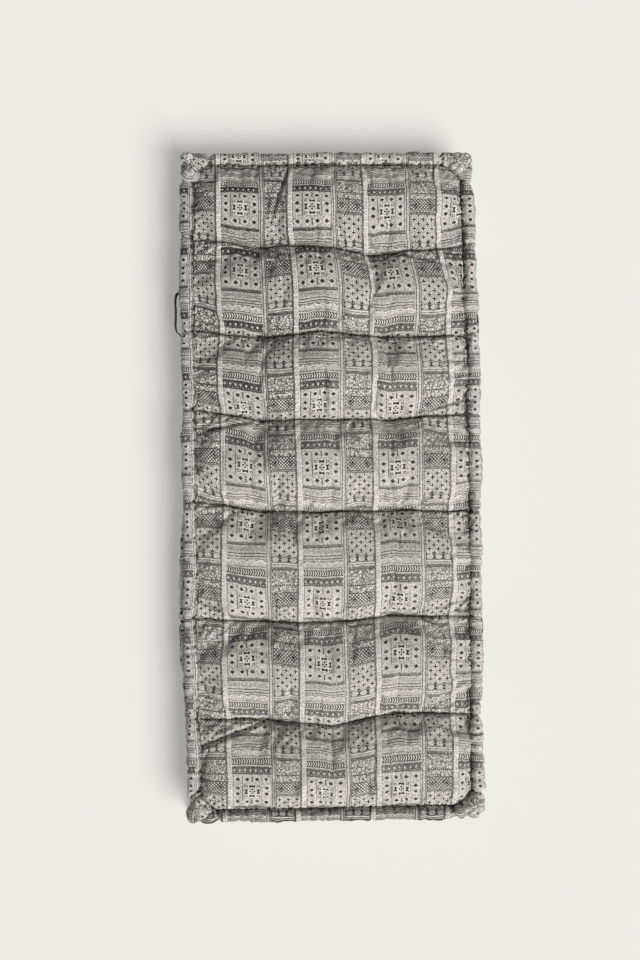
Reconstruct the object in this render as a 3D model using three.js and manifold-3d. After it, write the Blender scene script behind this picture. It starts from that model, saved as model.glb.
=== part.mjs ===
// A hand-tufted futon mattress with rolled edges, in millimetres.
// +Z is up, +Y points to the head end and +X to the right side.
// The origin is on the floor, below the middle of the mattress.
import * as THREE from "three";
import { mergeVertices } from "three/addons/utils/BufferGeometryUtils.js";
import Module from "manifold-3d";

const wasm = await Module();
wasm.setup();

// Driving dimensions
const LENGTH = 1600; // over the edge rolls
const WIDTH = 710; // over the edge rolls
const EDGE_HEIGHT = 100; // floor to the top of the upper edge roll
const CROWN_HEIGHT = 118; // floor to the top of a puff
const VALLEY_HEIGHT = 98; // floor to the crease between two puffs
const TUFT_HEIGHT = 80; // floor to the top panel where a tie pulls it in
const TUFT_DIMPLE = 10; // how far a tie lifts the bottom panel off the floor
const ROLL_RADIUS = 17;
const CLOTH = 2.5; // a cloth panel with the wadding that backs it
const GAP = 0.3; // between pieces that touch
const SEAM_GAP = 0.6; // between a panel and the roll sewn to it
const WALL_BULGE = 11; // how far a side wall swells past the middle of the rolls
const THREAD = 1.6; // the twine along the edge of each panel
const TIE_RADIUS = 1.2;
const KNOT_RADIUS = 3.5;
const STRAP_WIDTH = 22;
const STRAP_THICKNESS = 2.5;
const STRAP_STANDOFF = 21; // wall to the middle of the strap
const STRAP_HALF_SPAN = 52; // the free part of a handle, to each side of its middle
const SEWN_END_LENGTH = 33;
const HANDLE_PLACES = { head: 415, foot: -385 }; // middle of each handle, along Y

// Where the ties go through, left and right in each row, from head to foot. They were placed by eye.
const TUFT_ROWS = [
  { left: [-158, 574], right: [108, 554] },
  { left: [-158, 352], right: [134, 352] },
  { left: [-162, 151], right: [140, 151] },
  { left: [-156, -68], right: [140, -68] },
  { left: [-160, -331], right: [146, -321] },
  { left: [-158, -564], right: [148, -553] },
];

// Worked out from the driving dimensions
const rollLineX = WIDTH / 2 - ROLL_RADIUS;
const rollLineY = LENGTH / 2 - ROLL_RADIUS;
const panelHalfX = rollLineX - ROLL_RADIUS - SEAM_GAP;
const panelHalfY = rollLineY - ROLL_RADIUS - SEAM_GAP;
const upperRollZ = EDGE_HEIGHT - ROLL_RADIUS;
const lowerRollZ = ROLL_RADIUS;
const midZ = EDGE_HEIGHT / 2;
const lowerLayerTop = 2 * ROLL_RADIUS;
const upperLayerBottom = EDGE_HEIGHT - 2 * ROLL_RADIUS;
const panelEdgeZ = upperRollZ + 3; // the top panel meets the roll a little above its middle
const wallHalfHeight = (upperLayerBottom - lowerLayerTop) / 2 - 0.4;
const wallX = rollLineX + WALL_BULGE;

const finish = (color, roughness) => new THREE.MeshStandardMaterial({ color, roughness, metalness: 0 });
const printedCotton = finish(0xa39d95, 0.9);
const cottonWadding = finish(0xe8e0cf, 1.0);
const waxedTwine = finish(0x2b2724, 0.8);
const cottonWebbing = finish(0x241f1c, 0.85);

const mattress = new THREE.Group();

function add(name, geometry, material) {
  const mesh = new THREE.Mesh(geometry, material);
  mesh.name = name;
  mattress.add(mesh);
  return mesh;
}

function meshFrom(points, triangles) {
  const geometry = new THREE.BufferGeometry();
  geometry.setAttribute("position", new THREE.Float32BufferAttribute(points.flat(), 3));
  geometry.setIndex(triangles.flat());
  return geometry;
}

// Booleans

function toSolid(geometry) {
  const bare = geometry.clone();
  bare.deleteAttribute("normal");
  bare.deleteAttribute("uv");
  const merged = mergeVertices(bare);
  const triVerts = new Uint32Array(merged.index.array);
  return new wasm.Manifold(
    new wasm.Mesh({ numProp: 3, vertProperties: merged.attributes.position.array, triVerts }),
  );
}

function toGeometry(solid) {
  const { vertProperties, triVerts } = solid.getMesh();
  const geometry = new THREE.BufferGeometry();
  geometry.setAttribute("position", new THREE.BufferAttribute(new Float32Array(vertProperties), 3));
  geometry.setIndex(new THREE.BufferAttribute(new Uint32Array(triVerts), 1));
  return geometry;
}

// A clearance hole for every tie, straight through the whole mattress.
function tieHoles() {
  let holes = null;
  for (const [x, y] of TUFT_ROWS.flatMap((row) => [row.left, row.right])) {
    const hole = new THREE.CylinderGeometry(2 * TIE_RADIUS, 2 * TIE_RADIUS, 2 * CROWN_HEIGHT, 8);
    hole.rotateX(Math.PI / 2);
    hole.translate(x, y, CROWN_HEIGHT / 2);
    holes = holes ? holes.add(toSolid(hole)) : toSolid(hole);
  }
  return holes;
}

const holes = tieHoles();
const pierced = (geometry) => toGeometry(toSolid(geometry).subtract(holes));

// The quilted surface is a grid of columns and rows. Two columns and six rows of it pass through the ties,
// and the grid bends to follow them.

const TUFT_COLUMNS = [3, 6];
const CELLS_PER_PUFF = 4;
const columnRise = [0, 0.62, 0.9, 1, 1, 1, 1, 0.9, 0.62, 0]; // how full the puff is at each column

function gridRow(left, right) {
  const third = (right[0] - left[0]) / 3;
  const xs = [
    -panelHalfX,
    -panelHalfX + 30,
    (left[0] - panelHalfX) / 2,
    left[0],
    left[0] + third,
    right[0] - third,
    right[0],
    (right[0] + panelHalfX) / 2,
    panelHalfX - 30,
    panelHalfX,
  ];
  const slope = (right[1] - left[1]) / (right[0] - left[0]);
  return xs.map((x) => [x, left[1] + slope * (THREE.MathUtils.clamp(x, left[0], right[0]) - left[0])]);
}

function edgeRow(row, y) {
  return gridRow([row.left[0], y], [row.right[0], y]);
}

const guideRows = [
  edgeRow(TUFT_ROWS.at(0), panelHalfY),
  ...TUFT_ROWS.map((row) => gridRow(row.left, row.right)),
  edgeRow(TUFT_ROWS.at(-1), -panelHalfY),
];

function quiltGrid() {
  const grid = [];
  const lastRow = guideRows.length - 1;
  for (let puff = 0; puff < lastRow; puff += 1) {
    for (let step = 0; step < CELLS_PER_PUFF; step += 1) grid.push(quiltRow(puff, step / CELLS_PER_PUFF));
  }
  grid.push(quiltRow(lastRow - 1, 1));
  return grid;
}

// One row of grid points, a fraction of the way from one guide row to the next.
function quiltRow(puff, fraction) {
  const lastRow = guideRows.length - 1;
  const base = (row) => (row === 0 || row === lastRow ? panelEdgeZ : VALLEY_HEIGHT);
  const valley = THREE.MathUtils.lerp(base(puff), base(puff + 1), fraction);
  const swell = Math.max(0, Math.sin(Math.PI * fraction)) ** 0.6;
  const tiedRow = (fraction === 0 && puff > 0) || (fraction === 1 && puff + 1 < lastRow);
  return guideRows[puff].map(([x, y], column) => {
    const [nextX, nextY] = guideRows[puff + 1][column];
    const tied = tiedRow && TUFT_COLUMNS.includes(column);
    const puffed = valley + (CROWN_HEIGHT - valley) * swell;
    return {
      x: THREE.MathUtils.lerp(x, nextX, fraction),
      y: THREE.MathUtils.lerp(y, nextY, fraction),
      top: tied ? TUFT_HEIGHT : panelEdgeZ + (puffed - panelEdgeZ) * columnRise[column],
      bottom: tied ? TUFT_DIMPLE : 0,
    };
  });
}

// A layer between two heights, each worked out at every point of the grid.
function quiltLayer(grid, lower, upper) {
  const across = grid[0].length;
  const cells = grid.flat();
  const under = cells.map((cell) => [cell.x, cell.y, lower(cell)]);
  const over = cells.map((cell) => [cell.x, cell.y, upper(cell)]);
  const count = cells.length;
  const triangles = [];
  for (let row = 0; row < grid.length - 1; row += 1) {
    for (let column = 0; column < across - 1; column += 1) {
      const a = row * across + column;
      const b = a + 1;
      const c = a + across;
      const d = c + 1;
      triangles.push([a, b, d], [a, d, c]);
      triangles.push([count + a, count + d, count + b], [count + a, count + c, count + d]);
    }
  }
  const rim = rimOf(grid.length, across);
  rim.forEach((a, index) => {
    const b = rim[(index + 1) % rim.length];
    triangles.push([a, count + b, b], [a, count + a, count + b]);
  });
  return meshFrom([...under, ...over], triangles);
}

// The grid's outer points in order, along the head, down the right, back along the foot and up the left.
function rimOf(rows, across) {
  const rim = [];
  for (let column = 0; column < across - 1; column += 1) rim.push(column);
  for (let row = 0; row < rows - 1; row += 1) rim.push(row * across + across - 1);
  for (let column = across - 1; column > 0; column -= 1) rim.push((rows - 1) * across + column);
  for (let row = rows - 1; row > 0; row -= 1) rim.push(row * across);
  return rim;
}

// Edge strips: a section, given as [offset outwards, height] points, run along one side and mitred at
// both corners.

const SIDES = {
  left: { turn: Math.PI, line: rollLineX, half: rollLineY },
  right: { turn: 0, line: rollLineX, half: rollLineY },
  head: { turn: Math.PI / 2, line: rollLineY, half: rollLineX },
  foot: { turn: -Math.PI / 2, line: rollLineY, half: rollLineX },
};

function mitredStrip(section, side) {
  const { turn, line, half } = SIDES[side];
  const mitreGap = GAP;
  const reach = (offset) => half + offset - mitreGap;
  const near = section.map(([offset, z]) => [line + offset, -reach(offset), z]);
  const far = section.map(([offset, z]) => [line + offset, reach(offset), z]);
  const outline = section.map(([offset, z]) => new THREE.Vector2(offset, z));
  const caps = THREE.ShapeUtils.triangulateShape(outline, []);
  const count = section.length;
  const triangles = [];
  for (const [a, b, c] of caps) {
    triangles.push([a, b, c], [count + a, count + c, count + b]);
  }
  for (let a = 0; a < count; a += 1) {
    const b = (a + 1) % count;
    triangles.push([a, count + b, b], [a, count + a, count + b]);
  }
  return meshFrom([...near, ...far], triangles).rotateZ(turn);
}

// A twelve-sided roll with a flat at its lowest point, so that the lower rolls rest on the floor.
function rollSection(z) {
  const corner = ROLL_RADIUS / Math.cos(Math.PI / 12);
  return Array.from({ length: 12 }, (_, index) => {
    const angle = ((index + 0.5) * Math.PI) / 6;
    return [corner * Math.cos(angle), z + corner * Math.sin(angle)];
  });
}

// How far the side wall stands out from the line of the rolls at each height.
function wallOffset(z) {
  const t = (z - midZ) / wallHalfHeight;
  const atRolls = 1.5;
  return atRolls + (WALL_BULGE - atRolls) * (1 - t * t);
}

const wallHeights = [-1, -0.6, 0, 0.6, 1].map((t) => midZ + t * wallHalfHeight);

function wallSection() {
  const outer = wallHeights.map((z) => [wallOffset(z), z]);
  const inner = wallHeights.map((z) => [wallOffset(z) - CLOTH, z]).reverse();
  return [...outer, ...inner];
}

// The middle layer of wadding swells out between the rolls, behind the side walls.
function coreBlock() {
  const corners = [];
  for (const z of wallHeights) {
    const inset = wallOffset(z) - CLOTH - GAP;
    const halfX = rollLineX + inset;
    const halfY = rollLineY + inset;
    corners.push([halfX, -halfY, z], [halfX, halfY, z], [-halfX, halfY, z], [-halfX, -halfY, z]);
  }
  const triangles = [[0, 2, 1], [0, 3, 2]];
  for (let level = 0; level < wallHeights.length - 1; level += 1) {
    for (let corner = 0; corner < 4; corner += 1) {
      const a = 4 * level + corner;
      const b = 4 * level + ((corner + 1) % 4);
      triangles.push([a, b, b + 4], [a, b + 4, a + 4]);
    }
  }
  const top = 4 * (wallHeights.length - 1);
  triangles.push([top, top + 1, top + 2], [top, top + 2, top + 3]);
  return meshFrom(corners, triangles);
}

// A square loop of twine that holds a roll to its panel.
function seamThread(halfX, halfY, z) {
  const rectangle = (Path, x, y) =>
    new Path([[-x, -y], [x, -y], [x, y], [-x, y]].map(([px, py]) => new THREE.Vector2(px, py)));
  const outline = rectangle(THREE.Shape, halfX, halfY);
  outline.holes.push(rectangle(THREE.Path, halfX - THREAD, halfY - THREAD));
  const loop = new THREE.ExtrudeGeometry(outline, { depth: THREAD, bevelEnabled: false });
  return loop.translate(0, 0, z);
}

// A tie is one length of twine, knotted under the bottom panel and over the top panel.
function tuftTie() {
  const knotTop = TUFT_HEIGHT + 8;
  const knotBottom = TUFT_DIMPLE - 6;
  const profile = [
    [0, knotBottom],
    [KNOT_RADIUS, knotBottom + 1],
    [KNOT_RADIUS, knotBottom + 3],
    [TIE_RADIUS, knotBottom + 5],
    [TIE_RADIUS, knotTop - 5],
    [KNOT_RADIUS, knotTop - 3],
    [KNOT_RADIUS, knotTop - 1],
    [0, knotTop],
  ].map(([radius, z]) => new THREE.Vector2(radius, z));
  return new THREE.LatheGeometry(profile, 8).rotateX(Math.PI / 2);
}

// Handles: a webbing strap on edge, bowed out from the side wall. Its ends are sewn down flat, and the bow
// between them lifts and drops about the line of the two sewn ends.

// A ribbon seen from above, as [distance from the wall, distance along the wall] points. Its two ends are
// cut square across the wall, so that the bow turns clear of the sewn ends.
function ribbonOutline(centreLine) {
  const sides = centreLine.map(([out, along], index) => {
    const before = centreLine[Math.max(index - 1, 0)];
    const after = centreLine[Math.min(index + 1, centreLine.length - 1)];
    const run = new THREE.Vector2(after[0] - before[0], after[1] - before[1]).normalize();
    const isEnd = index === 0 || index === centreLine.length - 1;
    const normal = isEnd ? [1 / run.y, 0] : [run.y, -run.x];
    return { out, along, normal };
  });
  const half = STRAP_THICKNESS / 2;
  const offset = (sign) =>
    sides.map(({ out, along, normal }) =>
      new THREE.Vector2(out + sign * half * normal[0], along + sign * half * normal[1]));
  return new THREE.Shape([...offset(1), ...offset(-1).reverse()]);
}

const ribbon = (centreLine) =>
  new THREE.ExtrudeGeometry(ribbonOutline(centreLine), { depth: STRAP_WIDTH, bevelEnabled: false });

const strapEndStandoff = 8; // wall to the strap where the bow starts

function bowLine() {
  const steps = 16;
  return Array.from({ length: steps + 1 }, (_, index) => {
    const along = STRAP_HALF_SPAN * ((2 * index) / steps - 1);
    const share = 1 - Math.abs(along / STRAP_HALF_SPAN) ** 4;
    return [strapEndStandoff + (STRAP_STANDOFF - strapEndStandoff) * share, along];
  });
}

function sewnEndLine() {
  const start = STRAP_HALF_SPAN + GAP;
  const flat = GAP + STRAP_THICKNESS / 2;
  return [
    [strapEndStandoff, start],
    [strapEndStandoff - 4.2, start + 4],
    [flat + 0.6, start + 9],
    [flat, start + 14],
    [flat, start + SEWN_END_LENGTH],
  ];
}

// Turns a ribbon's geometry to stand on the left or right wall, at a place along it.
function onWall(geometry, side, place) {
  geometry.translate(wallX, 0, midZ - STRAP_WIDTH / 2);
  if (side === "left") geometry.rotateZ(Math.PI);
  return geometry.translate(0, place, 0);
}

function addHandle(side, end) {
  const place = HANDLE_PLACES[end];
  const name = `handle_${side}_${end}`;
  add(`${name}_strap`, onWall(ribbon(bowLine()), side, place), cottonWebbing);
  for (const [label, turned] of [["a", false], ["b", true]]) {
    const sewnEnd = ribbon(sewnEndLine());
    if (turned) sewnEnd.rotateX(Math.PI).translate(0, 0, STRAP_WIDTH);
    add(`${name}_sewn_end_${label}`, onWall(sewnEnd, side, place), cottonWebbing);
  }
}

// The pieces

const grid = quiltGrid();
const layer = (lower, upper) => pierced(quiltLayer(grid, lower, upper));

add("top_panel", layer((p) => p.top - CLOTH, (p) => p.top), printedCotton);
add("bottom_panel", layer((p) => p.bottom, (p) => p.bottom + CLOTH), printedCotton);
add("upper_wadding", layer(() => upperLayerBottom, (p) => p.top - CLOTH - GAP), cottonWadding);
add("core_wadding", pierced(coreBlock()), cottonWadding);
add("lower_wadding", layer((p) => p.bottom + CLOTH + GAP, () => lowerLayerTop), cottonWadding);

for (const side of Object.keys(SIDES)) {
  add(`side_wall_${side}`, mitredStrip(wallSection(), side), printedCotton);
  add(`upper_edge_roll_${side}`, mitredStrip(rollSection(upperRollZ), side), printedCotton);
  add(`lower_edge_roll_${side}`, mitredStrip(rollSection(lowerRollZ), side), printedCotton);
}

const upperThreadX = panelHalfX + 0.2;
const upperThreadY = panelHalfY + 0.2;
const lowerThreadX = panelHalfX + 1 + THREAD;
const lowerThreadY = panelHalfY + 1 + THREAD;
add("upper_seam_twine", seamThread(upperThreadX, upperThreadY, panelEdgeZ + 1.4), waxedTwine);
add("lower_seam_twine", seamThread(lowerThreadX, lowerThreadY, 1), waxedTwine);

TUFT_ROWS.forEach((row, index) => {
  for (const column of ["left", "right"]) {
    const [x, y] = row[column];
    add(`tuft_tie_${column}_${index + 1}`, tuftTie(), waxedTwine).position.set(x, y, 0);
  }
});

for (const side of ["left", "right"]) {
  for (const end of Object.keys(HANDLE_PLACES)) addHandle(side, end);
}

export default mattress;
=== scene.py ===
"""A hand-tufted futon mattress in block-printed cotton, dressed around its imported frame.

Metres throughout. +Z is up, +Y is the head end and +X the right side, as in the frame.
"""

import math

import bmesh
import bpy
import numpy as np
from mathutils import Matrix, Vector


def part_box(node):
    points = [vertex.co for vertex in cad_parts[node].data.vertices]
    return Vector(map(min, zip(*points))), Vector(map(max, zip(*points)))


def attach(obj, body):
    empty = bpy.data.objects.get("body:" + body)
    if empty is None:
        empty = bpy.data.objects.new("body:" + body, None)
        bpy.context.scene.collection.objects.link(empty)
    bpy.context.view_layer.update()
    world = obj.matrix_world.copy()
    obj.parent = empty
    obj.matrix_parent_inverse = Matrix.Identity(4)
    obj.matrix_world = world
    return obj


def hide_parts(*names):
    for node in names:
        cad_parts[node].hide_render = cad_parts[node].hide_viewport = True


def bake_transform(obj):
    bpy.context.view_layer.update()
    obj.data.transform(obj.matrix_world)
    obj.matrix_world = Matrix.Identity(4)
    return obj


MM = 0.001
TAU = 2 * math.pi

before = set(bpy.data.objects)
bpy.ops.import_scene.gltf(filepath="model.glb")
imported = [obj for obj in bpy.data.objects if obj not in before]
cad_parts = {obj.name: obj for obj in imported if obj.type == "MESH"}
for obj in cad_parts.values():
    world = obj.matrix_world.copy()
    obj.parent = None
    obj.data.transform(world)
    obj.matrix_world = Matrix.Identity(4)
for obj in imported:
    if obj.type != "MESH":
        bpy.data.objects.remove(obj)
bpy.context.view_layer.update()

# ---------------------------------------------------------------------------------------------------------
# Places, from the frame
# ---------------------------------------------------------------------------------------------------------

TUFT_ROWS = 6
SIDES = ("left", "right")


def centre_of(node):
    low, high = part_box(node)
    return (low + high) / 2


tufts = {side: [centre_of(f"tuft_tie_{side}_{row + 1}") for row in range(TUFT_ROWS)] for side in SIDES}
all_tufts = [tuft for side in SIDES for tuft in tufts[side]]
outer_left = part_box("upper_edge_roll_left")[0].x
outer_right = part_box("upper_edge_roll_right")[1].x
outer_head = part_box("upper_edge_roll_head")[1].y
outer_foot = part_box("upper_edge_roll_foot")[0].y
roll_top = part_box("upper_edge_roll_left")[1].z
mid_height = centre_of("side_wall_left").z
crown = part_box("top_panel")[1].z

# ---------------------------------------------------------------------------------------------------------
# Camera and light
# ---------------------------------------------------------------------------------------------------------

CAMERA_DISTANCE = 3.2
VIEW_HEIGHT = 2292.48 * MM  # how much of the floor plan the view takes in, from head to foot
VIEW_CENTRE = (-0.0247, 0.005, 0.09)
LEAN_LEFT, LEAN_FOOT = math.radians(2.2), math.radians(3.2)


def make_camera():
    """Nearly overhead, leaning a little towards the foot and the left side."""
    data = bpy.data.cameras.new("camera")
    data.sensor_fit = "VERTICAL"
    data.sensor_height = 24.0
    data.lens = data.sensor_height * CAMERA_DISTANCE / VIEW_HEIGHT
    back = Vector((-math.tan(LEAN_LEFT), -math.tan(LEAN_FOOT), 1.0)).normalized()
    turn = math.radians(0.62)
    right = Vector((math.cos(turn), -math.sin(turn), 0.0))
    right = (right - right.dot(back) * back).normalized()
    up = back.cross(right)
    camera = bpy.data.objects.new("camera", data)
    camera.rotation_mode = "QUATERNION"
    camera.rotation_quaternion = Matrix((right, up, back)).transposed().to_quaternion()
    camera.location = Vector(VIEW_CENTRE) + CAMERA_DISTANCE * back
    bpy.context.scene.collection.objects.link(camera)
    bpy.context.scene.camera = camera


def make_lights():
    """A broad key light from the foot and the right, in a pale room."""
    data = bpy.data.lights.new("key", "SUN")
    data.energy = 3.62
    data.angle = math.radians(36)
    data.color = (1.0, 0.99, 0.97)
    key = bpy.data.objects.new("key", data)
    bpy.context.scene.collection.objects.link(key)
    key.rotation_mode = "QUATERNION"
    key.rotation_quaternion = Vector((0.47, -0.52, 0.69)).to_track_quat("Z", "Y")
    world = bpy.data.worlds.new("studio")
    world.use_nodes = True
    background = world.node_tree.nodes["Background"]
    background.inputs["Color"].default_value = (0.985, 0.99, 1.0, 1.0)
    background.inputs["Strength"].default_value = 0.28
    bpy.context.scene.world = world
    bpy.context.scene.view_settings.view_transform = "Standard"


# ---------------------------------------------------------------------------------------------------------
# Node arithmetic, so that a pattern can be written as a formula
# ---------------------------------------------------------------------------------------------------------


class Value:
    """A number in a shader, with node arithmetic behind the operators."""

    def __init__(self, tree, socket):
        self.tree = tree
        self.socket = socket

    def math(self, operation, *others, clamp=False):
        node = self.tree.nodes.new("ShaderNodeMath")
        node.operation = operation
        node.use_clamp = clamp
        for slot, value in zip(node.inputs, (self, *others)):
            if isinstance(value, Value):
                self.tree.links.new(value.socket, slot)
            else:
                slot.default_value = value
        return Value(self.tree, node.outputs[0])

    def __add__(self, other):
        return self.math("ADD", other)

    def __sub__(self, other):
        return self.math("SUBTRACT", other)

    def __mul__(self, other):
        return self.math("MULTIPLY", other)

    def __abs__(self):
        return self.math("ABSOLUTE")

    def over(self, other):
        return self.math("MAXIMUM", other)

    def under(self, other):
        return self.math("MINIMUM", other)

    def inverse(self):
        return self.math("MULTIPLY_ADD", -1.0, 1.0)

    def wrap(self, period):
        return self.math("FLOORED_MODULO", period)

    def fold(self, period):
        """Distance to the nearest multiple of period."""
        return self.math("PINGPONG", period / 2)

    def below(self, limit, soft=0.5):
        """1 where this is under limit, and 0 over it, with an edge soft wide."""
        return self.math("MULTIPLY_ADD", -1.0 / soft, limit / soft + 0.5, clamp=True)

    def near(self, centre, half, soft=0.5):
        """1 within half of centre."""
        return abs(self - centre).below(half, soft)

    def mix(self, other, share):
        """This, changing to other as share goes from 0 to 1."""
        if not isinstance(other, Value):
            return self + (self.inverse() + (other - 1.0)) * share
        return self + (other - self) * share


def length_of(a, b):
    return (a * a + b * b).math("SQRT")


class Shading:
    """Textures laid out on one vector, in metres."""

    def __init__(self, tree, vector):
        self.tree = tree
        self.vector = vector
        split = tree.nodes.new("ShaderNodeSeparateXYZ")
        tree.links.new(vector, split.inputs[0])
        self.coordinates = tuple(Value(tree, split.outputs[axis]) for axis in (0, 1))

    def noise(self, scale, detail=2.0, as_colour=False):
        node = self.tree.nodes.new("ShaderNodeTexNoise")
        node.inputs["Scale"].default_value = scale
        node.inputs["Detail"].default_value = detail
        self.tree.links.new(self.vector, node.inputs["Vector"])
        if not as_colour:
            return Value(self.tree, node.outputs["Fac"])
        split = self.tree.nodes.new("ShaderNodeSeparateColor")
        self.tree.links.new(node.outputs["Color"], split.inputs[0])
        return Value(self.tree, split.outputs[0]), Value(self.tree, split.outputs[1])

    def cells(self, scale):
        node = self.tree.nodes.new("ShaderNodeTexVoronoi")
        node.feature = "DISTANCE_TO_EDGE"
        node.inputs["Scale"].default_value = scale
        self.tree.links.new(self.vector, node.inputs["Vector"])
        return Value(self.tree, node.outputs["Distance"])


def new_material(name):
    material = bpy.data.materials.new(name)
    material.use_nodes = True
    tree = material.node_tree
    return material, tree, tree.nodes["Principled BSDF"]


def cloth_texture(tree):
    """Textures in metres of flat cloth, or in metres along a strap or twine and round it."""
    cloth = tree.nodes.new("ShaderNodeUVMap")
    cloth.uv_map = "cloth"
    return Shading(tree, cloth.outputs["UV"])


def colour_by(tree, shader, share, low, high):
    mix = tree.nodes.new("ShaderNodeValToRGB")
    mix.color_ramp.elements[0].color = (*low, 1.0)
    mix.color_ramp.elements[1].color = (*high, 1.0)
    tree.links.new(share.socket, mix.inputs["Fac"])
    tree.links.new(mix.outputs["Color"], shader.inputs["Base Color"])


def bump_from(texture, shader, height, depth, strength=0.8):
    bump = texture.tree.nodes.new("ShaderNodeBump")
    bump.inputs["Strength"].default_value = strength
    bump.inputs["Distance"].default_value = depth
    texture.tree.links.new(height.socket, bump.inputs["Height"])
    texture.tree.links.new(bump.outputs["Normal"], shader.inputs["Normal"])


# ---------------------------------------------------------------------------------------------------------
# The block print. One repeat is a broad column, a line border, a narrow column and a chain border.
# All its sizes are in millimetres of flat cloth; v runs towards the foot.
# ---------------------------------------------------------------------------------------------------------

THREADS_PER_M = 1100.0
REPEAT_U = 177.0
REPEAT_V = 166.0
BROAD = (0.0, 92.0)
NARROW = (104.0, 164.0)
BARE = 0.16  # ink that a worn print leaves on its light parts

# Where the head seam's middle lies in the print, in metres.
PRINT_START = (0.0695, 0.097)


def band(v, low, high, soft=0.6):
    return v.near((low + high) / 2, (high - low) / 2, soft)


def broad_column(u, v):
    """Ink from 0, bare cloth, to 1, black, down the broad column."""
    mid_u = sum(BROAD) / 2
    ink = v * 0.0 + BARE

    strands = (u + abs(v - 6.5) * 0.55).fold(5.6).below(1.4, 0.6)
    ink = ink.mix(strands * 0.93 + 0.04, band(v, 1, 12.5))
    for line, strength in ((0.6, 0.75), (12.6, 0.8), (17.4, 0.55), (34.0, 0.95)):
        ink = ink.over(v.near(line, 0.8, 0.7) * strength)

    dots = length_of((u - 5.0).fold(12.4), v - 25.6)
    dotted = dots.below(2.7, 1.2).inverse() * 0.46 + 0.14
    chips = (abs((u + 1.2).fold(6.2)) + abs(v - 31.0)).below(1.2, 0.8)
    ink = ink.mix(dotted.mix(0.1, chips), band(v, 18, 34))

    ink = ink.mix(medallion(u - mid_u, v - 73.5), band(v, 35, 112))
    ink = ink.over(band(v, 112.6, 119.6) * 0.46).over(v.near(118.6, 1.0, 0.8) * 0.8)

    flowers = length_of((u - 7.0).fold(9.0), v - 127.5).near(2.8, 0.9, 1.0)
    ink = ink.over(flowers * 0.42 * band(v, 121, 134)).over(v.near(121.8, 0.5, 0.7) * 0.35)
    for line, strength in ((136.4, 0.9), (142.4, 0.9), (147.0, 0.5)):
        ink = ink.over(v.near(line, 0.85, 0.7) * strength)

    arch = (u - 3.0).fold(22.0)
    edge = v + (arch * arch) * 0.055 - 154.5
    ink = ink.mix(0.45, band(v, 149, 162) * (edge * -1.0).below(0.0, 0.8).inverse())
    ink = ink.mix(0.0, band(v, 149, 161) * edge.near(-1.6, 1.5, 0.9))
    return ink.over(v.near(161.6, 0.7, 0.8) * 0.6)


def medallion(u, v):
    """Twelve lozenges round a small cross of bow-ties, about its own centre."""
    across, along = abs(u), abs(v)
    ink = v * 0.0 + BARE
    for place_u, place_v in ((33.5, 7.3), (33.5, 27.3), (11.6, 27.3)):
        lozenge = abs(across - place_u) * 0.8 + abs(along - place_v)
        ink = ink.mix(0.03, lozenge.below(7.2, 1.6)).over(lozenge.below(4.6, 2.0) * 0.84)
    ink = ink.mix(0.04, across.over(along).below(17.0, 2.0))
    bow_up = abs(along - 11.8) - across * 0.34
    ink = ink.over(bow_up.below(1.2, 0.7) * across.below(6.4, 0.6) * 1.4)
    bow_side = abs(across - 13.6) - along * 0.5
    ink = ink.over(bow_side.below(1.5, 0.7) * along.below(5.2, 0.6) * 1.4)
    tile = abs(across - 14.0).over(abs(along - 12.2) * 1.3)
    ink = ink.over(tile.near(2.7, 0.8, 0.6))
    ring = length_of(u, v)
    petals = abs(across.over(along) - 4.6) + across.under(along) * 1.1
    ink = ink.over(petals.below(2.7, 1.0) * 1.2).over(ring.below(1.2, 0.8) * 0.8)
    ink = ink.over(abs(ring - 7.0).over(abs(across - along)).below(1.0, 0.8) * 0.6)
    frame_line = across.over(along * 1.2).near(21.0, 0.5, 0.7)
    ink = ink.over(frame_line * 0.4)
    ink = ink.over(across.below(1.1, 0.7) * along.near(28.5, 6.2, 0.8) * 1.1)
    ink = ink.over(u.near(-22.2, 0.7, 0.7) * v.near(-6.0, 27.0, 1.0) * 0.7)
    ink = ink.over(abs(u - 22.0).near(0.0, 0.6, 0.7) * 0.34)
    return ink.over(across.near(44.0, 0.7, 0.7) * 0.5)


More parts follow.
